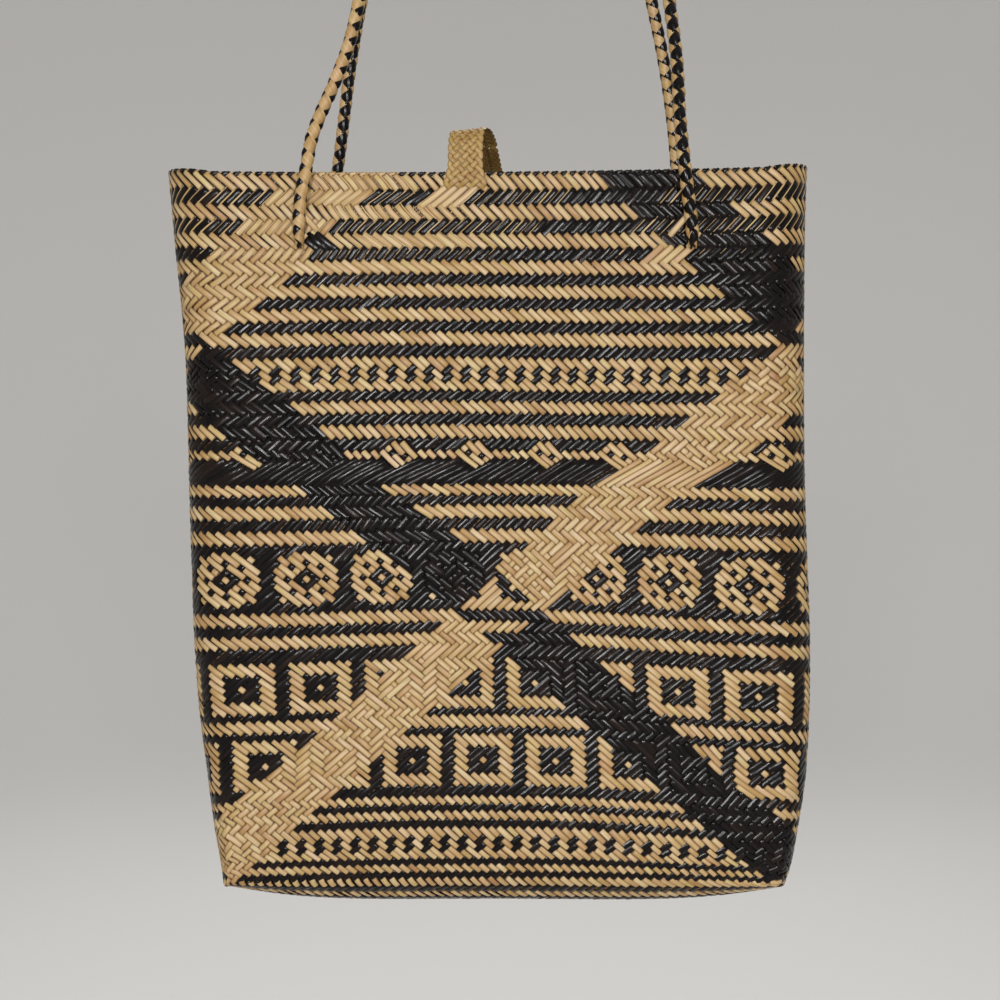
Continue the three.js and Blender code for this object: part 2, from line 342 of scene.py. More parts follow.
def smooth_route(route, step):
    """Points every step along a smooth curve through the route, all in millimetres."""
    knots = np.array(route) / MM
    padded = np.vstack([2 * knots[0] - knots[1], knots, 2 * knots[-1] - knots[-2]])
    gaps = np.sqrt(np.linalg.norm(np.diff(padded, axis=0), axis=1))[:, None]
    slopes = np.diff(padded, axis=0) / gaps
    wide = (padded[2:] - padded[:-2]) / (gaps[1:] + gaps[:-1])
    tangents = slopes[:-1] - wide + slopes[1:]
    share = np.linspace(0.0, 1.0, CURVE_STEPS, endpoint=False)[:, None]
    spans = zip(knots[:-1], knots[1:], gaps[1:-1], tangents[:-1], tangents[1:])
    curve = [cubic(share, start, end - start, leave * gap, reach * gap)
             for start, end, gap, leave, reach in spans]
    curve = np.vstack([*curve, knots[-1:]])
    length = run_along(curve)
    stations = np.linspace(0.0, length[-1], int(length[-1] / step) + 1)
    return np.stack([np.interp(stations, length, axis) for axis in curve.T], axis=1), stations


# %% Braid the straps
BRAID_PITCH = 15.4
BRAID_RADIUS = 2.5
BRAID_STEP = 0.5
STRAND_THICKNESS, STRAND_DROP = 1.0, 0.65
# Share of the edge darkening (wear and painted shade) that strap strands keep; it also gives fewer fibre
# lines across.
EDGE_DARKENING_SHARE = 0.55
BOTH_WIDTHS = 9.8
END_TAPER, END_SETTLE, END_SLIM = 10.0, 2.6, 0.45
# Where two strands of a colour start round the braid, and their tones, kept low: darker straw, partly
# painted shade on the straps.
STRAND_STARTS = [(0.0, 0.08), (math.pi, 0.33)]
# A strand's section is bent round the braid: its edges drop below its middle.
EDGE_DROP = 2 * STRAND_DROP / STRAND_THICKNESS
STRAND_TOP = [(x, 1.0 - EDGE_DROP * x * x) for x in (-1.0, -0.55, 0.0, 0.55, 1.0)]
INSIDE_EDGE = STRAND_TOP[0][1] - 0.9
STRAND_SECTION = np.array(STRAND_TOP + [(0.8, INSIDE_EDGE), (0.0, -0.6), (-0.8, INSIDE_EDGE)])
# Share of the length, turn of the braid in degrees, width of a natural strand.
FRONT_TURN = [
    (0.0, 138.0, 6.0), (0.035, 128.0, 6.2), (0.07, 98.0, 6.4), (0.11, 70.0, 6.2), (0.17, 45.0, 5.6),
    (0.5, 10.0, 4.9), (0.84, -8.0, 4.4), (1.0, 0.0, 4.3),
]
BACK_TURN = [(0.0, 22.0, 4.3), (0.17, 28.0, 4.4), (0.5, 10.0, 4.9), (0.84, -50.0, 5.2), (1.0, -45.0, 5.2)]


def braid(line, stations, turn):
    """Four splints wound round the line in two directions, black over at the front and back."""
    along = unit(np.gradient(line, axis=0))
    facing = np.array([0.0, -1.0, 0.0])
    ahead = unit(facing - along * (along @ facing)[:, None])
    aside = np.cross(along, ahead)
    shares, angles, widths = np.array(turn).T
    twist = np.radians(np.interp(stations / stations[-1], shares, angles))
    natural_width = np.interp(stations / stations[-1], shares, widths)
    strand_width = {"natural": natural_width, "black": BOTH_WIDTHS - natural_width}
    ending = 1 - np.clip(np.minimum(stations, stations[-1] - stations) / END_TAPER, 0, 1)
    slim = 1 - END_SLIM * ending**1.5
    settled = line.copy()
    settled[:, 1] -= np.sign(line[:, 1]) * END_SETTLE * ending**2
    strands = {"black": [], "natural": []}
    for colour, way in (("black", 1), ("natural", -1)):
        for start, tone in STRAND_STARTS:
            wind = way * 2 * math.pi * stations / BRAID_PITCH + start
            reach = (BRAID_RADIUS + way * BRAID_STEP * np.cos(2 * wind)) * slim
            radial = ahead * np.cos(wind + twist)[:, None] + aside * np.sin(wind + twist)[:, None]
            strand = splint(settled + radial * reach[:, None], radial, strand_width[colour] * slim,
                            STRAND_THICKNESS, tone, STRAND_SECTION)
            strand["side"] *= EDGE_DARKENING_SHARE
            strands[colour].append(strand)
    return strands


for name, route, turn in (("strap_front", FRONT_ROUTE, FRONT_TURN), ("strap_back", BACK_ROUTE, BACK_TURN)):
    line, stations = smooth_route(route, ROUTE_STEP)
    print(name, "is", round(stations[-1]), "mm long")
    strands = braid(line, stations, turn)
    pale = bundle(name + "_natural", strands["natural"], natural)
    dark = bundle(name + "_black", strands["black"], black)
    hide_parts(name)

# %% [markdown]
# ## The surface that the splints follow
# The body is flat in front and behind and rounded at the ends, wider towards the mouth, and its base sags.
# The same table of sections as in the solid gives the outline at each height. The weave lies on it as a
# lattice: a place round the bag, counted in splints (140 of each lean climb the walls), and a row of
# crossings above the base edge. Rows are not all equally tall, so a second table says how high each lies.

# %% Describe the body by rows
# Height, left, right, depth, belly, rounded end and tilt of each section.
BODY_SECTIONS = np.array([
    (0, 142, 146, 18, 3, 8, -0.3),
    (12, 143.5, 149.5, 21, 3.5, 9, -0.8),
    (30, 147, 153, 22.5, 4, 12, -1.4),
    (55, 150.5, 157, 23.5, 4, 16, -1.7),
    (85, 154.5, 159, 24, 4, 20, -1.7),
    (125, 157.5, 159.5, 24, 4, 22, -1.4),
    (200, 160, 157, 24, 4, 23, -0.4),
    (265, 162, 156.5, 24.5, 3, 24, 0.4),
    (330, 168, 157, 26, 2, 25, 1.1),
    (358, 170.5, 158, 27, 2, 26, 1.2),
])
# Row of crossings and its height above the base edge.
ROW_HEIGHTS = np.array([
    (0, 0), (2.5, 4.6), (9.5, 17.2), (16.5, 31.9), (20.5, 39.5), (31, 59.7), (41, 79.5), (63, 121.5),
    (69, 132.7), (89, 173.2), (95, 185.8), (101, 197), (112.5, 214.7), (118, 226.3), (124, 238.5),
    (132.5, 254.7), (141, 272.9), (147, 285), (153, 297.2), (159, 309.4), (165, 323), (171, 337.7),
    (174, 345.3), (175.5, 349.3), (178.5, 356.9), (179.5, 358),
])
CORNER_HEIGHT = -688.0
WALL_HEIGHT = 358.0
EDGE_RISE, RIM_DIP = 3.5, 1.8
END_SAG, END_PEAK = 4.5, 4.5
BASE_SAG = 11.5
TILT_REACH = 160.0
ROUND = 140
HALF_ROUND, QUARTER = ROUND // 2, ROUND // 4
LONG_SIDE, SHORT_SIDE = 60, 10
MID_FRONT = LONG_SIDE // 2
TOP_ROW = 179.5
END_CROWDING, CROWDED_UP = 0.1, 120.0
CROWDING_ROUNDS = 6


def smooth_column(place, knots, values):
    """Smooth values between the rows of a table."""
    rates = np.diff(values) / np.diff(knots)
    slopes = np.empty(len(knots))
    slopes[1:-1] = (values[2:] - values[:-2]) / (knots[2:] - knots[:-2])
    slopes[[0, -1]] = 1.5 * rates[[0, -1]] - 0.5 * slopes[[1, -2]]
    cell = np.clip(np.searchsorted(knots, place) - 1, 0, len(knots) - 2)
    gap = knots[cell + 1] - knots[cell]
    share = (place - knots[cell]) / gap
    rise = values[cell + 1] - values[cell]
    return cubic(share, values[cell], rise, slopes[cell] * gap, slopes[cell + 1] * gap)


def crowding(splints, spread):
    """Turns a share of the splints from mid-face to mid-end into a share of the way, wider at the ends."""
    way = splints.copy()
    for _ in range(CROWDING_ROUNDS):
        way -= (way * (1 + spread) - spread * way**3 - splints) / (1 + spread - 3 * spread * way**2)
    return way


def wall_grid(rows, places):
    """Points of the wall's middle surface for every row and every place round the bag."""
    heights = smooth_column(rows, *ROW_HEIGHTS.T)
    sections = [smooth_column(heights, BODY_SECTIONS[:, 0], column) for column in BODY_SECTIONS.T]
    turns = np.linspace(0.0, math.pi / 2, CURVE_STEPS)
    half_round = (places - MID_FRONT + QUARTER) % ROUND - QUARTER
    on_back = half_round > QUARTER
    from_middle = np.where(on_back, HALF_ROUND - half_round, half_round)
    rightward = from_middle >= 0
    grid = np.empty((len(rows), len(places), 3))
    for index, (up, left, right, depth, belly, end, tilt) in enumerate(zip(*sections)):
        lift = up / WALL_HEIGHT
        middle_x = (right - left) / 2
        half_long = (right + left) / 2 - end
        arc = run_along(np.stack([end * np.sin(turns), depth * np.cos(turns)], axis=1))
        straight = np.where(rightward, right, left) - end
        spread = END_CROWDING * min(1.0, up / CROWDED_UP)
        way = crowding(np.abs(from_middle) / QUARTER, spread) * (straight + arc[-1])
        turn = np.interp(way - straight, arc, turns)
        past = way > straight
        x = np.where(past, straight + end * np.sin(turn), way) * np.where(rightward, 1, -1)
        flat = np.where(past, 0.0, 1 - ((x - middle_x) / half_long) ** 2)
        y = np.where(past, depth * np.cos(turn), depth + belly * flat)
        rise = (EDGE_RISE + (-RIM_DIP - EDGE_RISE) * lift) * flat
        rise += np.where(past, (-END_SAG + (END_PEAK + END_SAG) * lift) * np.sin(turn), 0.0)
        z = CORNER_HEIGHT + up + rise + tilt * x / TILT_REACH
        grid[index] = np.stack([x, np.where(on_back, y, -y), z], axis=1)
    return grid


ROW_STEP, PLACE_STEP = 0.5, 0.25
rows = np.arange(0, TOP_ROW + ROW_STEP / 2, ROW_STEP)
places = np.arange(0, ROUND, PLACE_STEP)
even_points = wall_grid(rows, places)
print("wall from", even_points.min((0, 1)).round(1), "to", even_points.max((0, 1)).round(1), "mm")

# %% [markdown]
# A hand-plaited wall is never quite even, and use pulls it further: rows hang lower at the ends, and the
# black band bends inwards low on the right. Each tug slides the lattice along the surface round one place,
# so the form stays as it is.

# %% Pull the lattice out of true
# Row, place, rows reached, places reached, millimetres sideways, millimetres upwards.
TUGS = [
    (31, 60, 11, 10, -10, 0), (58, 52, 27, 15, -5, 0), (101, 19, 12, 9, -10, 0), (38, 6, 27, 20, 3, 0),
    (168, 17.5, 9, 9, -7, 0), (163, 55.5, 14, 10, 4, 0), (106, 40, 15, 10, -4, 0),
    (53, 59, 44, 14, 0, -3.5), (43, 3, 37, 12, 0, -2.5), (64, 31, 56, 14, 0, 1.3), (10, 54, 15, 10, 0, -2),
    (143, 19, 27, 14, 0, 1.6), (70, 92, 30, 14, 5, 0), (120, 115, 22, 12, -5, 0),
    (45, 122, 35, 14, 0, -2.5), (55, 80, 40, 14, 0, -2),
]
SPLINT_PITCH, ROW_PITCH = 4.6, 2.0
HELD_ROWS = 8


def read_grid(grid, first, second):
    """Values of a grid between its points. Past the end of a row it goes on from its start."""
    row = np.clip(first.astype(int), 0, grid.shape[0] - 2)
    above = np.clip(first - row, 0.0, 1.0)[..., None]
    column = np.floor(second).astype(int)
    aside = (second - column)[..., None]
    column, beside = column % grid.shape[1], (column + 1) % grid.shape[1]
    lower = (1 - aside) * grid[row, column] + aside * grid[row, beside]
    upper = (1 - aside) * grid[row + 1, column] + aside * grid[row + 1, beside]
    return (1 - above) * lower + above * upper


def pulled(points):
    """The same surface with the lattice slid along it by the tugs, not at the rim nor at the base."""
    row, place = np.meshgrid(rows, places, indexing="ij")
    free = np.clip(row / HELD_ROWS, 0, 1) * np.clip((TOP_ROW - row) / HELD_ROWS, 0, 1)
    sideways, upwards = np.zeros_like(row), np.zeros_like(row)
    for tug_row, tug_place, tall, wide, aside, above in TUGS:
        gap = (place - tug_place + HALF_ROUND) % ROUND - HALF_ROUND
        share = free * np.exp(-((row - tug_row) / tall) ** 2 - (gap / wide) ** 2)
        sideways += share * aside / SPLINT_PITCH
        upwards += share * above / ROW_PITCH
    return read_grid(points, (row + upwards) / ROW_STEP, (place + sideways) / PLACE_STEP)


wall_points = pulled(even_points)

# %% Stretch the base between its edges
BASE_CROWDING = 0.08
ring = wall_points[0]


def ring_point(place):
    return ring[np.round(np.asarray(place) / PLACE_STEP).astype(int) % len(ring)]


def base_grid():
    """Points of the base for steps of a quarter splint along and across it."""
    along = np.arange(0, LONG_SIDE + PLACE_STEP / 2, PLACE_STEP)[:, None]
    across = np.arange(0, SHORT_SIDE + PLACE_STEP / 2, PLACE_STEP)[None, :]
    u, v = along / LONG_SIDE, across / SHORT_SIDE
    v = v - BASE_CROWDING * np.sin(2 * math.pi * v)
    back_left = ROUND - SHORT_SIDE
    front, back = ring_point(along), ring_point(back_left - along)
    left, right = ring_point(ROUND - across), ring_point(LONG_SIDE + across)
    u, v = u[..., None], v[..., None]
    corners = [ring_point(place) for place in (0, LONG_SIDE, HALF_ROUND, back_left)]
    front_edge = (1 - u) * corners[0] + u * corners[1]
    back_edge = (1 - u) * corners[3] + u * corners[2]
    flat = (1 - v) * front_edge + v * back_edge
    points = (1 - v) * front + v * back + (1 - u) * left + u * right - flat
    points[..., 2] -= BASE_SAG * ((1 - (2 * u - 1) ** 4) * (1 - (2 * v - 1) ** 2))[..., 0]
    return points


base_points = base_grid()


def with_frames(points, sideways, upward):
    """Adds each point's outward direction and the room for one splint to a grid of points."""
    pitch, tall = np.linalg.norm(sideways, axis=-1), np.linalg.norm(upward, axis=-1)
    room = pitch * tall / np.hypot(pitch / 2, tall)
    return np.concatenate([points, unit(np.cross(sideways, upward)), room[..., None]], axis=-1)


closed = np.concatenate([wall_points[:, -1:], wall_points, wall_points[:, :1]], axis=1)
round_bag = np.gradient(closed, PLACE_STEP, axis=1)[:, 1:-1]
wall = with_frames(wall_points, round_bag, np.gradient(wall_points, ROW_STEP, axis=0))
along_base, across_base = np.gradient(base_points, PLACE_STEP, axis=(0, 1))
base = with_frames(base_points, along_base, -across_base / 2)


def wall_values(row, place):
    return read_grid(wall, row / ROW_STEP, place / PLACE_STEP)


def parts(values):
    """Points, outward directions and room for a splint, out of values read from a grid."""
    return values[:, :3], unit(values[:, 3:6]), values[:, 6]


# %% [markdown]
# ## The pattern
# A row of the chart is a row of crossings. Where the splint that leans like a backslash lies outside, the
# row is light, elsewhere it is dark. From the base up there are plain stripes, a check, two rows of
# squares, a row of rings, a wide dark band, a thin stripe with small diamonds, another check, and stripes
# to the rim. In the charts an o is light and a # dark.

# %% Chart the rows and figures
STRIPES = [("light", 3), ("dark", 3)]
BANDS = [
    ("dark", 2), ("light", 2), ("dark", 2), ("check", 8), ("dark", 2), ("light", 2), ("dark", 2),
    ("light", 2), ("dark", 3), ("square", 13), ("dark", 2), ("light", 3), ("dark", 2), ("square", 13),
    ("dark", 4), *STRIPES, ("light", 3), ("dark", 2), ("ring", 13), ("dark", 2), *STRIPES * 2,
    ("light", 3), ("dark", 9), ("light", 2), ("dark", 3), *STRIPES * 2, ("check", 8), ("dark", 3),
    *STRIPES * 6, ("light", 3), ("dark", 1),
]
BAND_STARTS = np.cumsum([0] + [count for _, count in BANDS])
ROW_COUNT = BAND_STARTS[-1]
FACE_MARGIN = 5
FIGURE_PERIOD = 8
# Each figure from its edge to its middle row. The other half is the same.
FIGURES = {
    "square": ["ooooooo", "oooooo", "ooooooo", "o####o", "oo###oo", "o####o", "oo#o#oo"],
    "ring": ["ooo", "oooooo", "oo#oo", "o#oo#o", "ooo#ooo", "oo##oo", "o##o##o"],
}
# Place of the middle of a figure, by the row that its band starts with.
FIGURE_MIDDLES = {25: 4.0, 45: 2.0, 73: 1.0}
CHECK_CHART = ["ooo##ooo", "oo#oo#oo"]
DIAMOND_CHART = ["ooooo", "o#ooo", "ooo#o", ".oooo"]
DIAMOND_ROW, DIAMOND_REACH = 113, 5
DIAMOND_START = 2
BASE_PERIOD, BASE_LIGHT = 4, (1, 2)


def face_place(place):
    """Place across the front or back face, counted as on the front."""
    return (place + FACE_MARGIN) % HALF_ROUND - FACE_MARGIN


def figure_offset(place, middle):
    """Distance in splints to the nearest repeat of a figure on this face."""
    return (face_place(place) - middle + FIGURE_PERIOD / 2) % FIGURE_PERIOD - FIGURE_PERIOD / 2


def in_figure(chart, row, offset):
    """Whether a figure is light in this row of its band, this far from its middle."""
    line = chart[min(row, 2 * len(chart) - 2 - row)]
    slot = offset + (len(line) - 1) / 2
    return 0 <= slot < len(line) and line[int(round(slot))] == "o"


def diamond_cell(row, place):
    """Chart letter of the small diamonds on the thin stripe, which follow the light splints."""
    rise = (row - DIAMOND_ROW) / 2
    splint_number, crossing = place - DIAMOND_START + rise, place - DIAMOND_START - rise
    repeat = FIGURE_PERIOD * math.floor(splint_number / FIGURE_PERIOD)
    splint_number, crossing = round(splint_number - repeat), round(crossing - repeat)
    inside = splint_number < len(DIAMOND_CHART) and 0 <= crossing < len(DIAMOND_CHART[0])
    return DIAMOND_CHART[splint_number][crossing] if inside else "."


def light_outside(row, place):
    """True where the backslash splint lies over the slash splint at this crossing of the wall."""
    band = np.searchsorted(BAND_STARTS, row, side="right") - 1
    kind, start = BANDS[band][0], BAND_STARTS[band]
    cell = diamond_cell(row, face_place(place)) if abs(row - DIAMOND_ROW) <= DIAMOND_REACH else "."
    if cell != ".":
        return cell == "o"
    if kind == "check":
        splint_number = int(round(place + row / 2 - 0.5))
        return CHECK_CHART[splint_number % 2][row - start] == "o"
    if kind in FIGURES:
        return in_figure(FIGURES[kind], row - start, figure_offset(place, FIGURE_MIDDLES[start]))
    return kind == "light"


def light_under(step):
    """The base goes on in stripes of two rows along its length."""
    return min(step, 2 * SHORT_SIDE - step) % BASE_PERIOD in BASE_LIGHT

# %% [markdown]
# ## The plaited body
# Every splint starts at the rim, runs down one wall, crosses the base on the slant and climbs another wall
# back to the rim. A splint that crosses a short edge of the base changes its lean there, which is what
# draws the pale and black bands that cross on the front. Each splint lifts where it lies outside and dips
# where it lies inside, with a short steep step between, and bulges a little along a float.

# %% Weave the splints
CROSSING_LIFT = 0.3
SPLINT_THICKNESS = 0.58
FLOAT_BULGE = {"natural": 0.06, "black": 0.09}
FULL_BULGE, MOST_BULGE = 3, 4
FLOAT_TILT = 0.12
FLAT_FLOAT = np.array([0.0, 0.18, 0.82, 1.0])
LONG_FLOAT = 6
STEP_SHARE = 0.41
WIDEST = 3.15
SNUG = {"natural": 0.95, "black": 1.04}
SECTIONS = {"natural": SKIN_SECTION, "black": ROUND_SECTION}
TONE_SHAPE, TONE_SPREAD = (2.2, 2.0), 0.11
HEIGHT_SPREAD, DRIFT_SPREAD, WIDTH_SPREAD = 0.02, 0.012, 0.015
# Size of a sideways wave in splints, and its length in crossings a radian.
DRIFT_WAVES = [(0.03, 17.0), (0.02, 5.3)]
WIDTH_SWAY, WIDTH_WAVE = 0.02, 9.0
FOLD_ROWS = np.array([TOP_ROW, 179.1, 176.5, 172.0, 168.5])
FOLD_DEPTHS = np.array([0.0, 0.0, 0.1, 0.0, -0.35])
# Height of the fold above the rim, and its depth behind the wall.
FOLD_OVER, FOLD_UNDER = (0.55, 1.15), (0.15, 0.65)
UP = np.array([0.0, 0.0, 1.0])
chance = np.random.default_rng(41)


def splint_course(colour, number):
    """Place and lean of one splint on both walls, its start and way on the base, and crossings there."""
    key = number + 0.5
    if colour == "natural":
        first = (key % ROUND, -1 if key >= 0 else 1)
        last = ((2 * LONG_SIDE - key) % ROUND, -1 if key <= LONG_SIDE - SHORT_SIDE else 1)
        along, across, way = max(key, 0.0), max(-key, 0.0), 1
        ahead = LONG_SIDE - along
    else:
        first = (key, 1 if key <= LONG_SIDE else -1)
        last = (ROUND - key, 1 if key >= SHORT_SIDE else -1)
        along, across, way = min(key, LONG_SIDE), max(key - LONG_SIDE, 0.0), -1
        ahead = along
    steps = int(round(2 * min(SHORT_SIDE - across, ahead)))
    return (first, last), (along, across, way), steps


def course_points(course, stations, drift):
    """Point, outward direction and room at stations counted in crossings from the first base edge."""
    ends, (along, across, way), steps = course
    values = np.empty((len(stations), wall.shape[-1]))
    for (place, lean), row in zip(ends, (-stations, stations - steps)):
        on_wall = row >= 0
        row = row[on_wall]
        values[on_wall] = wall_values(row, place + lean * row / 2 + drift[on_wall])
    on_base = (stations > 0) & (stations < steps)
    step = stations[on_base] / 2
    values[on_base] = read_grid(base, (along + way * step) / PLACE_STEP, (across + step) / PLACE_STEP)
    return parts(values)


def course_overs(colour, course, crossings):
    """Whether the splint lies outside at each crossing."""
    ends, (_, across, _), steps = course
    overs = []
    for crossing in crossings:
        if 0 < crossing < steps:
            overs.append(light_under(2 * across + crossing) == (colour == "natural"))
            continue
        row = -crossing if crossing <= 0 else crossing - steps
        place, lean = ends[0] if crossing <= 0 else ends[1]
        overs.append(light_outside(row, place + lean * row / 2) == (lean < 0))
    return np.array(overs)


def rim_fold(place, lean, over):
    """The end of a splint: over the rim and a little way down the inside."""
    crest, inside = FOLD_OVER if over else FOLD_UNDER
    depth = FOLD_DEPTHS + inside
    depth[0] = 0.0
    points, outward, _ = parts(wall_values(FOLD_ROWS, place + lean * (TOP_ROW - FOLD_ROWS / 2)))
    centres = points - outward * depth[:, None]
    centres[0] += UP * crest
    facing = -outward
    facing[0] = UP
    return centres, facing


def float_shares(colour, over, crossed):
    """Where the points lie along a float or a dip: black floats stay flat between rounded ends."""
    if colour == "black" and over and 1 < crossed < LONG_FLOAT:
        return FLAT_FLOAT
    return np.linspace(0, 1, max(crossed // 2 + 1, 3 if over or crossed > 3 else 2))


def woven_splint(colour, number):
    """One splint from rim to rim, over and under as the chart says."""
    course = splint_course(colour, number)
    ends, _, steps = course
    crossings = np.arange(-(ROW_COUNT - 1), steps + ROW_COUNT)
    overs = course_overs(colour, course, crossings)
    breaks = np.flatnonzero(np.diff(overs.astype(int))) + 1
    runs = []
    tone = chance.beta(*TONE_SHAPE)
    for run in np.split(np.arange(len(crossings)), breaks):
        start, end = crossings[run[0]] - STEP_SHARE, crossings[run[-1]] + STEP_SHARE
        over = overs[run[0]]
        share = float_shares(colour, over, len(run))
        station = start + (end - start) * share
        bulge = FLOAT_BULGE[colour] * over * min(len(run), MOST_BULGE) / FULL_BULGE
        height = (CROSSING_LIFT if over else -CROSSING_LIFT) + bulge * 4 * share * (1 - share)
        tilt = chance.normal(0, FLOAT_TILT) if over else 0.0
        shade = np.clip(tone + chance.normal(0, TONE_SPREAD), 0, 1)
        runs.append(np.broadcast_arrays(station, height, tilt, shade, 0.0 if over else 1.0))
    stations, heights, tilts, tones, unders = np.hstack(runs)
    heights = heights + chance.normal(0, HEIGHT_SPREAD, len(stations))
    sway = chance.uniform(0, 2 * math.pi, len(DRIFT_WAVES))
    waves = [size * np.sin(stations / length + start) for (size, length), start in zip(DRIFT_WAVES, sway)]
    drift = sum(waves) + chance.normal(0, DRIFT_SPREAD, len(stations))
    points, outward, room = course_points(course, stations, drift)
    centres = points + outward * heights[:, None]
    across = np.cross(outward, unit(np.gradient(centres, axis=0)))
    outward = unit(outward + across * tilts[:, None])
    width = np.minimum(room, WIDEST) * chance.normal(SNUG[colour], WIDTH_SPREAD)
    width = width * (1 + WIDTH_SWAY * np.sin(stations / WIDTH_WAVE + sway[1]))
    start_centres, start_facing = rim_fold(*ends[0], overs[0])
    end_centres, end_facing = rim_fold(*ends[1], overs[-1])
    centres = np.vstack([start_centres[::-1], centres, end_centres])
    outward = np.vstack([start_facing[::-1], outward, end_facing])
    width, tones = (np.pad(values, len(FOLD_ROWS), mode="edge") for values in (width, tones))
    unders = np.pad(unders, len(FOLD_ROWS))
    return splint(centres, outward, width, SPLINT_THICKNESS, tones, SECTIONS[colour], unders)


for colour, side, numbers in (
    ("natural", "left", range(-10, 25)),
    ("natural", "right", range(25, 60)),
    ("black", "left", range(0, 35)),
    ("black", "right", range(35, 70)),
):
    splints = [woven_splint(colour, number) for number in numbers]
    piece = bundle(f"body_{colour}_{side}", splints, CANES[colour])
    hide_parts("bag_body")

# %% [markdown]
# ## The doubled rim
# Before the ends are trimmed, each splint is folded back and pushed down beside its neighbours, so the top
# stripes are plaited double: a thin dark line shows between pale floats and a thin pale one between dark.

# %% Tuck fillers between the top floats
THIN_SPLINT = 0.5
FILLER_WIDTH, FILLER_SPREAD = 0.8, (0.25, 1.25)
FILLER_START, FILLER_DEPTH = 162.0, -0.2
FILLER_HEIGHTS = [-0.15, 0.22, 0.3, 0.22, -0.15]
# How far past a stripe's outer crossings a filler comes out of the wall, and lies flat.
FILLER_OUT, FILLER_FLAT = 0.6, 0.2
LEAN_OVER = {"light": -1, "dark": 1}


def filler(place, lean):
    """A folded-back end, lying in the gap beside a splint of the given lean in the top stripes."""
    row, height = [FILLER_START], [FILLER_DEPTH]
    for (kind, count), start in zip(BANDS, BAND_STARTS):
        if start < FILLER_START or LEAN_OVER.get(kind) != lean:
            continue
        end = start + count - 1
        row += [start - FILLER_OUT, start - FILLER_FLAT, (start + end) / 2]
        row += [end + FILLER_FLAT, end + FILLER_OUT]
        height += FILLER_HEIGHTS
    row = np.minimum(np.array(row), TOP_ROW)
    points, outward, _ = parts(wall_values(row, place + lean * row / 2))
    centres = points + outward * np.array(height)[:, None]
    width = FILLER_WIDTH * chance.uniform(*FILLER_SPREAD)
    return splint(centres, outward, width, THIN_SPLINT, chance.beta(*TONE_SHAPE))


def lean_colour(start, lean):
    """Colour of the splint that leaves the base edge at this place with this lean."""
    place = start % ROUND
    crossed = LONG_SIDE <= place <= HALF_ROUND or place >= ROUND - SHORT_SIDE
    return "natural" if (lean < 0) != crossed else "black"


fillers = {"natural": [], "black": []}
for lean in (-1, 1):
    for place in range(ROUND):
        colour = lean_colour(place + lean * TOP_ROW, -lean)
        fillers[colour].append(filler(place, lean))
for colour, material in CANES.items():
    bundle(f"rim_fillers_{colour}", fillers[colour], material)

# %% [markdown]
# ## The plaited loop
# A flat band of eight natural splints bridges the mouth. Each splint runs slantwise to one edge, turns
# there and comes back, over one and under one. Both ends spread over the rim and go into the wall, where
# four of the splints come out once more as feet over the dark stripe below.

# %% Plait the loop
LOOP_LINE = [
    (-0.0175, -0.0305, -0.345), (-0.0174, -0.0308, -0.337), (-0.0172, -0.0313, -0.327),
    (-0.017, -0.0309, -0.3165), (-0.016, -0.0266, -0.3103), (-0.0135, -0.018, -0.3085),
    (-0.011, -0.006, -0.3105), (-0.009, 0.008, -0.3155), (-0.0075, 0.02, -0.3205),
    (-0.0068, 0.0285, -0.3248), (-0.0065, 0.0316, -0.3305), (-0.0065, 0.031, -0.338),
    (-0.0065, 0.0305, -0.345),
]
LOOP_STEP, CELL_STEPS = 0.5, 6
LOOP_WIDTH, LOOP_EDGE, LOOP_TURN = 17.0, 1.0, 2.0
LOOP_CELLS = 4
LOOP_SPLINT, LOOP_TONES = 2.6, (0.2, 0.7)
LOOP_LIFT = 0.36
LOOP_SPREAD, SPREAD_REACH = 0.6, 18.0
LOOP_DIVE, DIVE_START, DIVE_REACH = 2.8, 8.5, 5.0
LOOP_TILT, TILT_HEIGHT, TILT_FADE = 0.14, -312.0, 16.0
loop_line, loop_stations = smooth_route(LOOP_LINE, LOOP_STEP)
loop_along = unit(np.gradient(loop_line, axis=0))
loop_across = unit(np.array([1.0, 0.0, 0.0]) - loop_along * loop_along[:, :1])
loop_outward = np.cross(loop_across, loop_along)
cell = LOOP_WIDTH / LOOP_CELLS


def along_loop(stations, table):
    return np.stack([np.interp(stations, loop_stations, axis) for axis in table.T], axis=1)


def loop_splint(number):
    """One splint of the plait, zigzagging between the edges of the band."""
    stations = np.arange(0.0, loop_stations[-1], cell / CELL_STEPS)
    zigzag = (stations + number * cell) % (2 * LOOP_WIDTH)
    rising = zigzag < LOOP_WIDTH
    across = np.where(rising, zigzag, 2 * LOOP_WIDTH - zigzag) - LOOP_WIDTH / 2
    across = np.clip(across, -LOOP_WIDTH / 2 + LOOP_EDGE, LOOP_WIDTH / 2 - LOOP_EDGE)
    inner = np.clip((LOOP_WIDTH / 2 - np.abs(across)) / LOOP_TURN, 0, 1)
    height = LOOP_LIFT * np.cos(2 * math.pi * stations / cell) * np.where(rising, inner, -inner)
    from_end = np.minimum(stations, loop_stations[-1] - stations)
    spread = 1 + LOOP_SPREAD * np.clip(1 - from_end / SPREAD_REACH, 0, 1) ** 1.5
    sink = np.clip((DIVE_START - from_end) / DIVE_REACH, 0, 1)
    sink = LOOP_DIVE * sink**2 * (3 - 2 * sink)
    outward = unit(along_loop(stations, loop_outward))
    centres = along_loop(stations, loop_line) + outward * (height - sink)[:, None]
    centres += along_loop(stations, loop_across) * (across * spread)[:, None]
    tilted = np.clip(1 - np.abs(centres[:, 2] - TILT_HEIGHT) / TILT_FADE, 0, 1) * (centres[:, 1] < 0)
    centres[:, 2] += LOOP_TILT * across * tilted
    width = LOOP_SPLINT * spread**0.5
    return splint(centres, outward, width, THIN_SPLINT, chance.uniform(*LOOP_TONES))


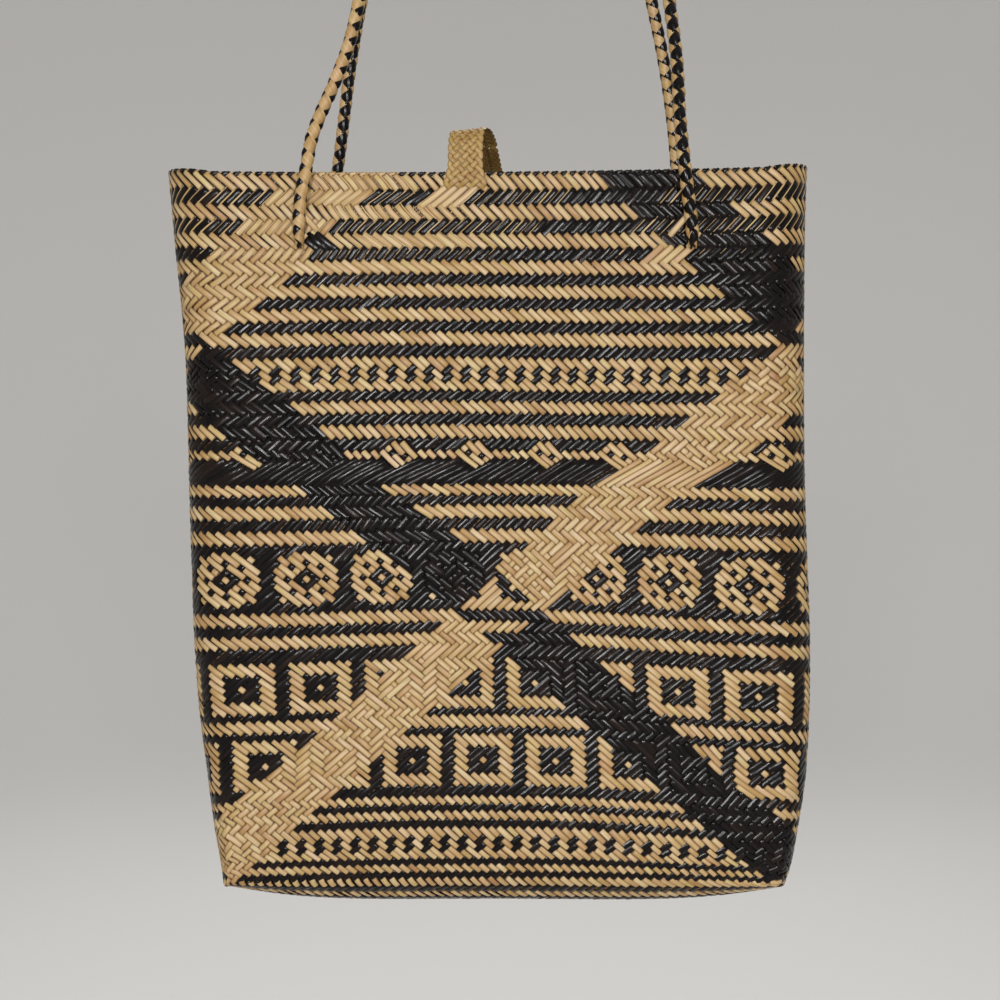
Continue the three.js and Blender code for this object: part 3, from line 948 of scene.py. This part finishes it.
loop_splints = [loop_splint(number) for number in range(2 * LOOP_CELLS)]
loop = bundle("loop_plait", loop_splints, loop_cane)
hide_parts("top_loop")

# %% Bring out the loop's feet
FOOT_PLACES = [23.5, 24.5, 25.5, 26.5, 99.5, 100.5, 101.5, 102.5]
FOOT_ROW, FOOT_LEAN = 174.0, 1
FOOT_STEPS = np.array([-2.2, -1.5, -0.8, 0.0, 0.8, 1.5, 2.4])
FOOT_HEIGHTS = np.array([-0.2, 0.5, 0.86, 0.95, 0.95, 0.85, 0.5])
FOOT_SNUG, FOOT_TONES = 0.86, (0.35, 0.8)


def over_float(row, lean, place, steps, heights):
    """Centres, outward directions and room of a splint laid over one float of the wall."""
    points, outward, room = parts(wall_values(row + steps, place + lean * steps / 2))
    return points + outward * heights[:, None], outward, room


def foot(place):
    """A natural splint over one black float of the dark stripe, coming from under the loop."""
    centres, outward, room = over_float(FOOT_ROW, FOOT_LEAN, place, FOOT_STEPS, FOOT_HEIGHTS)
    return splint(centres, outward, room * FOOT_SNUG, THIN_SPLINT, chance.uniform(*FOOT_TONES))


bundle("loop_feet", [foot(place) for place in FOOT_PLACES], natural)

# %% [markdown]
# ## Where the straps end
# Each strap comes down over the rim and is laced into the wall. Before the end one natural splint leaves
# the braid and dives under a neighbour, and another is pulled across the tip. The rest are woven back into
# the wall below: natural ones show on the dark stripe by one end, black ones on the light stripe by the
# other. The back is the front turned round.

# %% Tuck in the strap ends
# Ends on each face, named as they are seen when looking at that face.
STRAP_ENDS = {"front": {"left": -99.7, "right": 96.2}, "back": {"right": -96.0, "left": 98.8}}
STRAP_END_HEIGHT = -369.0
# How far aside and above the strap's end a tuck starts, then where it ends.
TUCKS = {
    "left": [(2.2, 15.5, 8.5, 8.5), (3.0, 6.5, -2.6, 0.0)],
    "right": [(-2.2, 16.5, -11.5, 6.0), (3.0, 7.5, -2.2, 0.0)],
}
TUCK_SHARES = np.array([0.0, 0.25, 0.5, 0.72, 0.9, 1.0])
TUCK_HEIGHTS = np.array([2.6, 2.4, 1.6, 0.9, 0.4, -0.6])
TUCK_WIDTH, TUCK_THICKNESS, TUCK_TONES = 3.0, 0.7, (0.3, 0.8)
WALL_FACE = 27.8


def tuck(face, end_x, start_aside, start_above, end_aside, end_above):
    """A splint from inside the braid down to the wall and under it."""
    turned = 1 if face == "front" else -1
    x = end_x + turned * (start_aside + (end_aside - start_aside) * TUCK_SHARES)
    z = STRAP_END_HEIGHT + start_above + (end_above - start_above) * TUCK_SHARES
    centres = np.stack([x, -turned * (WALL_FACE + TUCK_HEIGHTS), z], axis=1)
    outward = np.tile(np.array([0.0, -turned, 0.0]), (len(centres), 1))
    return splint(centres, outward, TUCK_WIDTH, TUCK_THICKNESS, chance.uniform(*TUCK_TONES))


tucks = []
for face, ends in STRAP_ENDS.items():
    for side, end_x in ends.items():
        tucks += [tuck(face, end_x, *row) for row in TUCKS[side]]
bundle("strap_tucks", tucks, natural)

# %% Weave the rest of the strap back into the wall
# Lean, middle row and places on the front.
LACES = {
    "natural": (1, 162.0, [46.5, 47.5, 48.5, 49.5]),
    "black": (-1, 165.0, [11.0, 12.0, 13.0]),
}
LACE_STEPS = np.array([-2.2, -1.5, -0.8, 0.0, 0.8, 1.5, 2.2])
LACE_HEIGHTS = np.array([-0.2, 0.5, 0.88, 0.95, 0.88, 0.5, -0.2])
LACE_TONES = (0.3, 0.7)


def lace(colour, lean, middle, place):
    """A splint of the strap laid over one float of the wall."""
    centres, outward, room = over_float(middle, lean, place, LACE_STEPS, LACE_HEIGHTS)
    width = np.minimum(room, WIDEST)
    return splint(centres, outward, width, THIN_SPLINT, chance.uniform(*LACE_TONES), SECTIONS[colour])


for colour, material in CANES.items():
    lean, middle, front_places = LACES[colour]
    laces = [lace(colour, lean, middle, place + turned)
             for turned in (0, HALF_ROUND) for place in front_places]
    bundle(f"strap_laces_{colour}", laces, material)

# %% [markdown]
# ## Studio
# The bag hangs above a plain pale floor that sweeps up on all sides like a paper roll, so there is no
# horizon. Two soft lamps far behind the camera pick out the sheen of both leans of splint, and a large
# high one lights the back. Far lamps with a narrow beam keep hot spots off the floor. The surround gives
# even light, and the camera sees it darker, as grey as the far end of the floor.

# %% Set the floor and lights
LIGHT_STRENGTH, SEEN_STRENGTH = 0.6, 0.42
FLOOR_HEIGHT, FLOOR_REACH = -0.86, 1.2
FLOOR_RINGS, FLOOR_SIDES = [0.4, 0.8], 64
SWEEP, SWEEP_TURN, SWEEP_STEPS = 3.6, math.radians(80), 25
BEAM = math.radians(36)
BAG_MIDDLE = np.array([0.0, 0.0, -0.47])

scene.view_settings.view_transform = "Standard"
world = bpy.data.worlds.new("pale_surround")
world.use_nodes = True
surround = world.node_tree.nodes["Background"]
surround.inputs["Color"].default_value = (1.0, 0.985, 0.965, 1.0)
seen = add_node(world.node_tree, "ShaderNodeLightPath").outputs["Is Camera Ray"]
strength = maths(world.node_tree, "MULTIPLY_ADD", seen, SEEN_STRENGTH - LIGHT_STRENGTH, LIGHT_STRENGTH)
world.node_tree.links.new(strength, surround.inputs["Strength"])
scene.world = world


def floor_mesh():
    """A round floor that turns up into a wall: one profile carried round the middle."""
    bend = np.linspace(0.0, SWEEP_TURN, SWEEP_STEPS)
    reach = np.concatenate([FLOOR_RINGS, FLOOR_REACH + SWEEP * np.sin(bend)])
    height = np.concatenate([np.zeros(len(FLOOR_RINGS)), SWEEP * (1 - np.cos(bend))]) + FLOOR_HEIGHT
    turn = np.linspace(0, 2 * math.pi, FLOOR_SIDES, endpoint=False)
    points = np.stack([np.outer(reach, np.cos(turn)), np.outer(reach, np.sin(turn)),
                       np.repeat(height[:, None], len(turn), axis=1)], axis=-1)
    index = np.arange(points[..., 0].size).reshape(points.shape[:2])
    beside = np.roll(index, -1, axis=1)
    faces = np.stack([index[1:], beside[1:], beside[:-1], index[:-1]], axis=-1).reshape(-1, 4)
    mesh = bpy.data.meshes.new("floor")
    mesh.from_pydata(points.reshape(-1, 3).tolist(), [], [index[0].tolist()] + faces.tolist())
    mesh.shade_smooth()
    return mesh


floor = add_object("floor", floor_mesh())
floor_material, _, floor_shader = new_material("pale_floor")
floor_shader.inputs["Base Color"].default_value = (0.775, 0.765, 0.75, 1.0)
floor_shader.inputs["Roughness"].default_value = 0.9
floor_shader.inputs["Specular IOR Level"].default_value = 0.1
floor.data.materials.append(floor_material)


def soft_lamp(name, place, radius, power):
    """A soft lamp that shines on the bag from this place."""
    data = bpy.data.lights.new(name, "SPOT")
    data.shadow_soft_size = radius
    data.spot_size = BEAM
    data.spot_blend = 1.0
    data.energy = power
    lamp = add_object(name, data)
    lamp.visible_camera = False
    lamp.location = place
    aim = BAG_MIDDLE - np.array(place)
    tilt = math.atan2(math.hypot(aim[0], aim[1]), -aim[2])
    lamp.rotation_euler = (tilt, 0.0, math.atan2(-aim[0], aim[1]))


soft_lamp("left_lamp", (-0.45, -2.4, -0.25), 0.2, 115.0)
soft_lamp("right_lamp", (0.5, -2.4, -0.3), 0.2, 98.0)
soft_lamp("back_lamp", (0.4, 1.7, 1.6), 1.0, 240.0)
